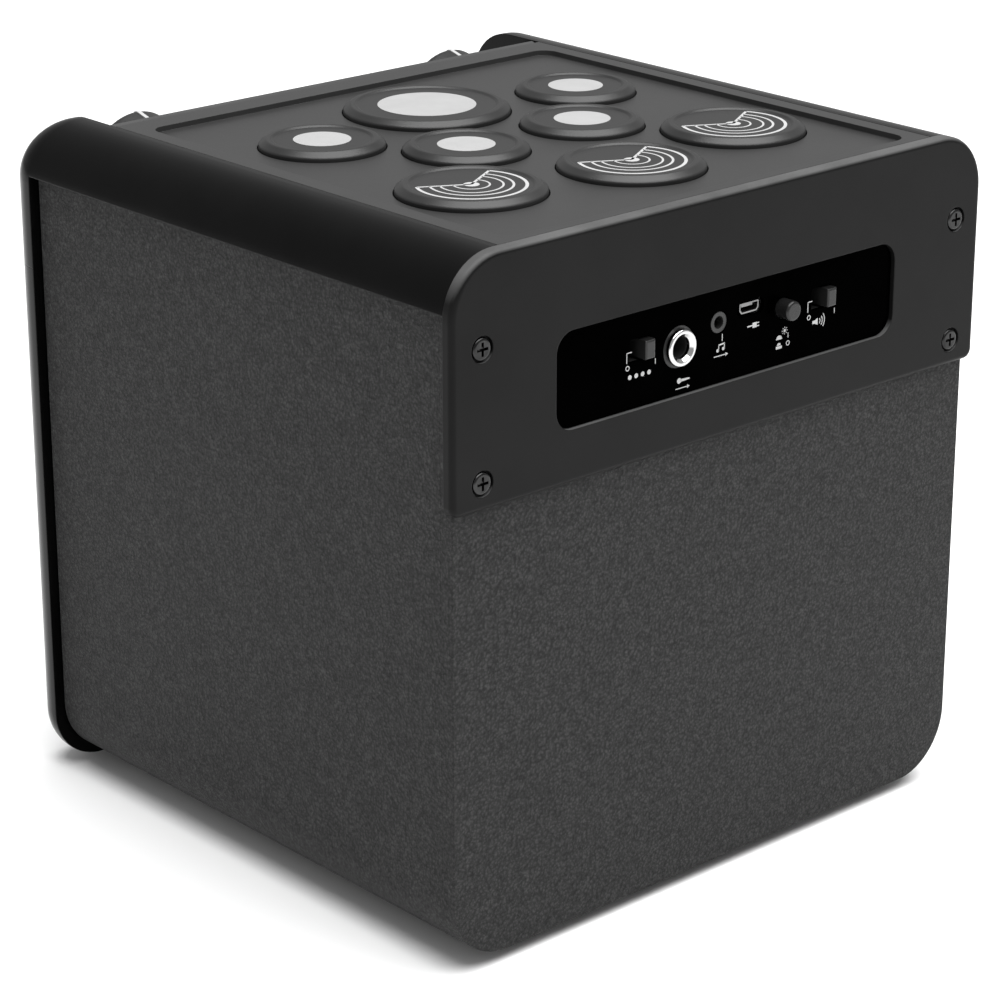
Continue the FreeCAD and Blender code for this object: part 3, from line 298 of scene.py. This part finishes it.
LOOKS = {
    "vinyl": vinyl(),
    "gloss": gloss(),
    "window": window_glass(),
    "board": fibre_board(),
    "circuit": circuit(),
    "cone": paper_cone(),
    "diffuser": diffuser(),
    "wrap": shrink_wrap(),
    "deck": moulded("satin_deck", grey(0.022), grey(0.027), 0.40, 0.35 * MM, 0.012 * MM, 0.35),
    "panel": moulded("satin_panel", grey(0.028), grey(0.038), 0.44, 0.35 * MM, 0.012 * MM, 0.5),
    "plate": plate(),
    "matte": moulded("matte_black_plastic", grey(0.010), grey(0.018), 0.45, 0.5 * MM, 0.02 * MM, 0.45),
    "cap": moulded("switch_cap_plastic", grey(0.008), grey(0.013), 0.30, 0.4 * MM, 0.01 * MM, 0.35),
    "knob": moulded("knob_plastic", grey(0.008), grey(0.014), 0.36, 0.6 * MM, 0.015 * MM, 0.5),
    "pad": moulded("pad_silicone", grey(0.010), grey(0.014), 0.38, 0.3 * MM, 0.012 * MM, 0.4),
    "rubber": moulded("soft_black_rubber", grey(0.012), grey(0.022), 0.72, 0.7 * MM, 0.03 * MM, 0.3),
    "powder": moulded("powder_coat", grey(0.010), grey(0.020), 0.42, 0.45 * MM, 0.04 * MM, 0.5),
    "screw": metal("blackened_screw", grey(0.02), grey(0.05), 0.22),
    "steel": metal("plated_steel", grey(0.16), grey(0.26), 0.30, 6.0),
    "chrome": metal("polished_chrome", grey(0.50), grey(0.62), 0.13, 1.0, 0.5 * MM, 0.002 * MM),
    "iron": metal("ground_iron", grey(0.10), grey(0.20), 0.42, 8.0),
    "disc": ink("pad_disc_ink", grey(0.30), grey(0.34), 0.3),
    "line": ink("pad_line_ink", grey(0.36), grey(0.44), 0.3),
    "legend": ink("legend_ink", grey(0.36), grey(0.48), 0.2),
}

FINISHES = {
    "vinyl": ("cabinet_shell", "rear_board"),
    "board": ("front_baffle",),
    "gloss": ("front_bezel", "top_housing"),
    "window": ("rear_window", "display_window"),
    "deck": ("pad_plate",),
    "panel": ("control_panel",),
    "plate": ("rear_plate",),
    "matte": ("jack_frame", "mic_jack", "aux_jack", "drum_switch", "speaker_switch", "light_switch",
              "battery_tray", "display_module"),
    "cap": ("drum_switch_cap", "speaker_switch_cap", "light_button", "button_1", "button_2", "button_3",
            "button_4"),
    "knob": ("knob_left", "knob_right"),
    "pad": (*PADS, *CYMBALS),
    "rubber": ("feet", "pad_cushions", "woofer_surround"),
    "circuit": ("pad_board", "control_board", "jack_board", "main_board", "led_board"),
    "screw": ("rear_screws", "woofer_screws"),
    "steel": ("board_screws", "panel_screws", "usb_port", "pot_left", "pot_right"),
    "chrome": ("mic_ferrule",),
    "powder": ("woofer_basket", "grille"),
    "iron": ("woofer_yoke", "woofer_magnet"),
    "cone": ("woofer_cone", "dust_cap"),
    "diffuser": ("light_ring",),
    "wrap": ("battery_cells",),
}


def finish_nodes():
    for look, names in FINISHES.items():
        for name in names:
            node = NODES[name]
            node.data.materials.clear()
            node.data.materials.append(LOOKS[look])


# ---------------------------------------------------------------- thin prints

def arc(radius, start, end, steps=48, middle=(0, 0)):
    """Points on a circle from start to end degrees."""
    for step in range(steps + 1):
        angle = math.radians(start + (end - start) * step / steps)
        yield middle[0] + radius * math.cos(angle), middle[1] + radius * math.sin(angle)


def disc(radius, steps=96, middle=(0, 0)):
    return list(arc(radius, 0, 360 * (steps - 1) / steps, steps - 1, middle))


def band(radius, width, start, end, steps=64, middle=(0, 0)):
    """Outline of a curved strip along an arc."""
    outer = list(arc(radius + width / 2, start, end, steps, middle))
    inner = list(arc(radius - width / 2, end, start, steps, middle))
    return outer + inner


def bar(first, last, width):
    """Outline of a straight strip between two points."""
    along = Vector(last) - Vector(first)
    side = Vector((-along.y, along.x)).normalized() * width / 2
    ends = [Vector(first) + side, Vector(last) + side, Vector(last) - side, Vector(first) - side]
    return [tuple(end) for end in ends]


def slabs(name, outlines, thick, to_frame, look, body):
    """Thin closed prints: each flat outline becomes a plate thick metres high."""
    mesh = bpy.data.meshes.new(name)
    work = bmesh.new()
    for outline in outlines:
        low = [work.verts.new(to_frame @ Vector((u, v, 0))) for u, v in outline]
        high = [work.verts.new(to_frame @ Vector((u, v, thick))) for u, v in outline]
        work.faces.new(list(reversed(low)))
        work.faces.new(high)
        for here in range(len(outline)):
            after = (here + 1) % len(outline)
            work.faces.new((low[here], low[after], high[after], high[here]))
    bmesh.ops.recalc_face_normals(work, faces=work.faces)
    work.to_mesh(mesh)
    work.free()
    mesh.materials.append(LOOKS[look])
    piece = bpy.data.objects.new(name, mesh)
    bpy.context.scene.collection.objects.link(piece)
    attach(piece, body)
    return piece


def pad_frame(name):
    """Flat frame on the dished top of a pad, its middle as origin."""
    low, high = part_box(name)
    return Matrix.Translation(((low.x + high.x) / 2, (low.y + high.y) / 2, high.z - PAD_DISH - SINK))


def make_pad_discs():
    for name, radius in PADS.items():
        slabs(name + "_disc", [disc(radius)], INK, pad_frame(name), "disc", name + "_body")


def make_cymbal_lines():
    """Four rings cut by an open third that faces the front, with two spokes and a hub."""
    reach = 15.1
    for name in CYMBALS:
        outlines = [disc(2.2 * MM, 40)]
        for radius, width in ((5.0, 0.55), (8.7, 0.6), (11.5, 0.7), (reach, 0.95)):
            outlines.append(band(radius * MM, width * MM, -30, 210, 96))
        for angle in (-30, -150):
            turn = math.radians(angle)
            tip = (reach * MM * math.cos(turn), reach * MM * math.sin(turn))
            outlines.append(bar((0, 0), tip, 0.8 * MM))
        slabs(name + "_lines", outlines, INK, pad_frame(name), "line", name + "_body")


# ---------------------------------------------------------------- window legends

WINDOW_FACE = 97.75 * MM
THIN = 0.26
OFF_RADIUS = 0.62


def ring(radius, width, middle):
    """Two half bands that close into a ring."""
    return [band(radius, width, 0, 180, 24, middle), band(radius, width, 180, 360, 24, middle)]


def switch_marks(lead, tick, off, on):
    """A leader from the slider, a ring for off and a stroke for on."""
    u, low, high = lead
    return [
        bar((u, low), (u, high), THIN),
        bar((u, high - THIN / 2), (tick, high - THIN / 2), THIN),
        *ring(OFF_RADIUS, THIN, off),
        bar((on[0], on[1] - 0.75), (on[0], on[1] + 0.75), THIN),
    ]


def input_arrow(first, last, v):
    head = [(last - 1.0, v - 0.55), (last, v), (last - 1.0, v + 0.55)]
    return [bar((first, v), (last - 0.9, v), THIN), head]


def make_legends():
    """Plain symbols, in millimetres: u to the right across the window face, v up from the ground."""
    marks = switch_marks((-39.2, 164.6, 167.6), -37.4, (-38.9, 163.2), (-28.5, 163.1))
    marks += [disc(0.68, 24, (-38.0 + 2.4 * turn, 160.5)) for turn in range(4)]
    marks += [disc(0.78, 24, (-19.3, 155.4))]
    marks += [[(-18.7, 155.0), (-15.3, 155.2), (-15.3, 155.6), (-18.7, 155.8)]]
    marks += input_arrow(-20.6, -15.2, 153.2)
    marks += [bar((-2.9, 163.3), (-2.9, 165.3), THIN)]
    marks += [disc(0.5, 20, (-4.6, 160.8)), disc(0.5, 20, (-2.4, 161.0))]
    marks += [bar((-4.2, 160.8), (-4.2, 162.3), THIN), bar((-2.0, 161.0), (-2.0, 162.5), THIN)]
    marks += [bar((-4.3, 162.3), (-1.9, 162.5), 0.4)]
    marks += input_arrow(-6.0, -0.5, 159.2)
    marks += [bar((6.9, 165.2), (9.0, 165.2), 0.4), bar((9.0, 165.2), (10.6, 165.2), 1.5)]
    marks += [bar((10.6, 164.75), (11.6, 164.75), THIN), bar((10.6, 165.65), (11.6, 165.65), THIN)]
    sun = (22.0, 161.0)
    marks += [disc(0.48, 20, sun)]
    for turn in range(8):
        near = next(arc(0.75, 45 * turn, 45 * turn, 1, sun))
        far = next(arc(1.15, 45 * turn, 45 * turn, 1, sun))
        marks += [bar(near, far, 0.22)]
    marks += [list(arc(1.2, 0, 180, 16, (19.8, 158.8))), bar((23.4, 158.7), (23.4, 160.1), THIN)]
    marks += [list(arc(0.75, 0, 180, 16, (19.8, 157.1))), bar((18.6, 156.5), (21.0, 156.5), 0.8)]
    marks += ring(OFF_RADIUS, THIN, (23.4, 157.1))
    marks += switch_marks((31.2, 164.3, 167.4), 32.9, (31.7, 162.7), (42.2, 162.7))
    marks += [bar((33.2, 160.9), (34.2, 160.9), 0.9)]
    marks += [[(34.2, 160.4), (35.4, 159.9), (35.4, 161.9), (34.2, 161.4)]]
    marks += [band(reach, 0.3, -38, 38, 12, (35.2, 160.9)) for reach in (1.2, 2.1, 3.0)]
    face = Matrix(((-MM, 0, 0, 0), (0, 0, 1, WINDOW_FACE - SINK), (0, MM, 0, 0), (0, 0, 0, 1)))
    slabs("window_legends", marks, 0.09 * MM, face, "legend", CASE)


# ---------------------------------------------------------------- knob pointers

PANEL = Matrix.Translation((0, -73.55 * MM, 205.3 * MM)) @ Matrix.Rotation(math.radians(75), 4, "X")
KNOB_SIDE = 61.75 * MM
KNOB_DOWN = 20.8 * MM
POINTER_HALF = 0.62 * MM


def make_pointers():
    """White inserts that fill the slot in each knob's rim."""
    outline = [(14.02, 1.2), (14.9, 1.2), *arc(2.9, 0, 45.5, 8, (12.0, 13.5)), (14.02, 15.57)]
    outline = [(u * MM, v * MM) for u, v in outline]
    for name in ("knob_left", "knob_right"):
        low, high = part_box(name)
        across = 1 if (low.x + high.x) > 0 else -1
        knob = PANEL @ Matrix.Translation((across * KNOB_SIDE, -KNOB_DOWN, 0))
        upright = Matrix(((0, 0, 1, -POINTER_HALF), (1, 0, 0, 0), (0, 1, 0, 0), (0, 0, 0, 1)))
        slabs(name + "_pointer", [outline], 2 * POINTER_HALF, knob @ upright, "line", name + "_body")


# ---------------------------------------------------------------- woofer surround

WOOFER_HEIGHT = 85.5


def strip(line, thick):
    """Closed outline of a strip of even thickness along a line of (radius, y) points."""
    sides = []
    for here in range(len(line)):
        before, after = Vector(line[max(here - 1, 0)]), Vector(line[min(here + 1, len(line) - 1)])
        along = (after - before).normalized()
        sides.append(Vector((-along.y, along.x)) * thick / 2)
    there = [Vector(point) + side for point, side in zip(line, sides)]
    back = [Vector(point) - side for point, side in zip(line, sides)]
    return there + back[::-1]


def revolved(name, outline, look, steps=144):
    """A closed outline of (radius, y) in millimetres turned about the woofer's axis."""
    mesh = bpy.data.meshes.new(name)
    work = bmesh.new()
    rings = []
    for step in range(steps):
        angle = 2 * math.pi * step / steps
        across, up = math.cos(angle), math.sin(angle)
        rings.append([work.verts.new((r * across * MM, y * MM, (WOOFER_HEIGHT + r * up) * MM))
                      for r, y in outline])
    count = len(outline)
    for step in range(steps):
        here, after = rings[step], rings[(step + 1) % steps]
        for spot in range(count):
            beyond = (spot + 1) % count
            work.faces.new((here[spot], here[beyond], after[beyond], after[spot]))
    bmesh.ops.recalc_face_normals(work, faces=work.faces)
    for face in work.faces:
        face.smooth = True
    work.to_mesh(mesh)
    work.free()
    mesh.materials.append(LOOKS[look])
    piece = bpy.data.objects.new(name, mesh)
    bpy.context.scene.collection.objects.link(piece)
    return piece


def make_surround():
    """A rubber half roll in two pieces: the outer rides on the cabinet, the inner is left unparented where it
    stands.
    """
    outer = [(60.1, -86.97), (55.4, -86.97)]
    outer += [(51.3 + 3.3 * c, -86.97 - 3.33 * s) for c, s in arc(1, 6, 90, 14)]
    inner = [(51.3 + 3.3 * c, -86.2 - 4.1 * s) for c, s in arc(1, 90, 172, 14)]
    inner += [(47.7, -86.15), (46.3, -86.12)]
    rim = revolved("surround_outer", strip(outer, 0.6), "rubber")
    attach(rim, CASE)
    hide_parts("woofer_surround")
    roll = revolved("surround_inner", strip(inner, 0.6), "rubber")
    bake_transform(roll)
    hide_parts("woofer_surround")


# ---------------------------------------------------------------- camera, light and floor

CAMERA_SPOT = (0.6242, 0.6984, 0.4391)
CAMERA_HEADING = math.radians(-138.065)
CAMERA_PITCH = math.radians(-20.50)
CAMERA_LENS = 118.93


def make_camera():
    data = bpy.data.cameras.new("camera")
    data.sensor_width = 36.0
    data.lens = CAMERA_LENS
    data.clip_start = 0.02
    camera = bpy.data.objects.new("camera", data)
    bpy.context.scene.collection.objects.link(camera)
    flat = math.cos(CAMERA_PITCH)
    ahead = Vector((flat * math.sin(CAMERA_HEADING), flat * math.cos(CAMERA_HEADING), math.sin(CAMERA_PITCH)))
    camera.location = CAMERA_SPOT
    camera.rotation_mode = "QUATERNION"
    camera.rotation_quaternion = ahead.to_track_quat("-Z", "Y")
    bpy.context.scene.camera = camera


ROOM_LIGHT = 0.45


def soft_light(name, spot, size, watts):
    data = bpy.data.lights.new(name, "AREA")
    data.shape = "DISK"
    data.size = size
    data.energy = watts
    lamp = bpy.data.objects.new(name, data)
    bpy.context.scene.collection.objects.link(lamp)
    lamp.location = spot
    lamp.rotation_mode = "QUATERNION"
    lamp.rotation_quaternion = (Vector((0, 0, 0.1)) - Vector(spot)).to_track_quat("-Z", "Y")


def make_studio():
    world = bpy.data.worlds.new("studio")
    world.use_nodes = True
    tree = world.node_tree
    back = tree.nodes["Background"]
    back.inputs["Color"].default_value = (1, 1, 1, 1)
    seen = tree.nodes.new("ShaderNodeLightPath").outputs["Is Camera Ray"]
    level = tree.nodes.new("ShaderNodeMapRange")
    level.inputs["To Min"].default_value = ROOM_LIGHT
    level.inputs["To Max"].default_value = 1.0
    tree.links.new(seen, level.inputs["Value"])
    tree.links.new(level.outputs["Result"], back.inputs["Strength"])
    bpy.context.scene.world = world
    bpy.context.scene.view_settings.view_transform = "Standard"
    soft_light("overhead", (-0.1, 0.42, 1.95), 2.6, 90)

    far = 4.0
    corners = [(-far, -far, 0), (far, -far, 0), (far, far, 0), (-far, far, 0)]
    mesh = bpy.data.meshes.new("floor")
    mesh.from_pydata(corners, [], [(0, 1, 2, 3)])
    floor = bpy.data.objects.new("floor", mesh)
    bpy.context.scene.collection.objects.link(floor)
    look = Look("pale_floor", Specular_IOR_Level=0.0)
    look.feed("Base Color", look.ramp(look.noise(0.4, 3.0), (0.3, grey(0.93)), (0.7, grey(0.95))))
    look.feed("Roughness", look.span(look.noise(0.2, 3.0), 0.3, 0.7, 0.85, 0.95))
    mesh.materials.append(look.material)


finish_nodes()
make_pad_discs()
make_cymbal_lines()
make_legends()
make_pointers()
make_surround()
make_camera()
make_studio()
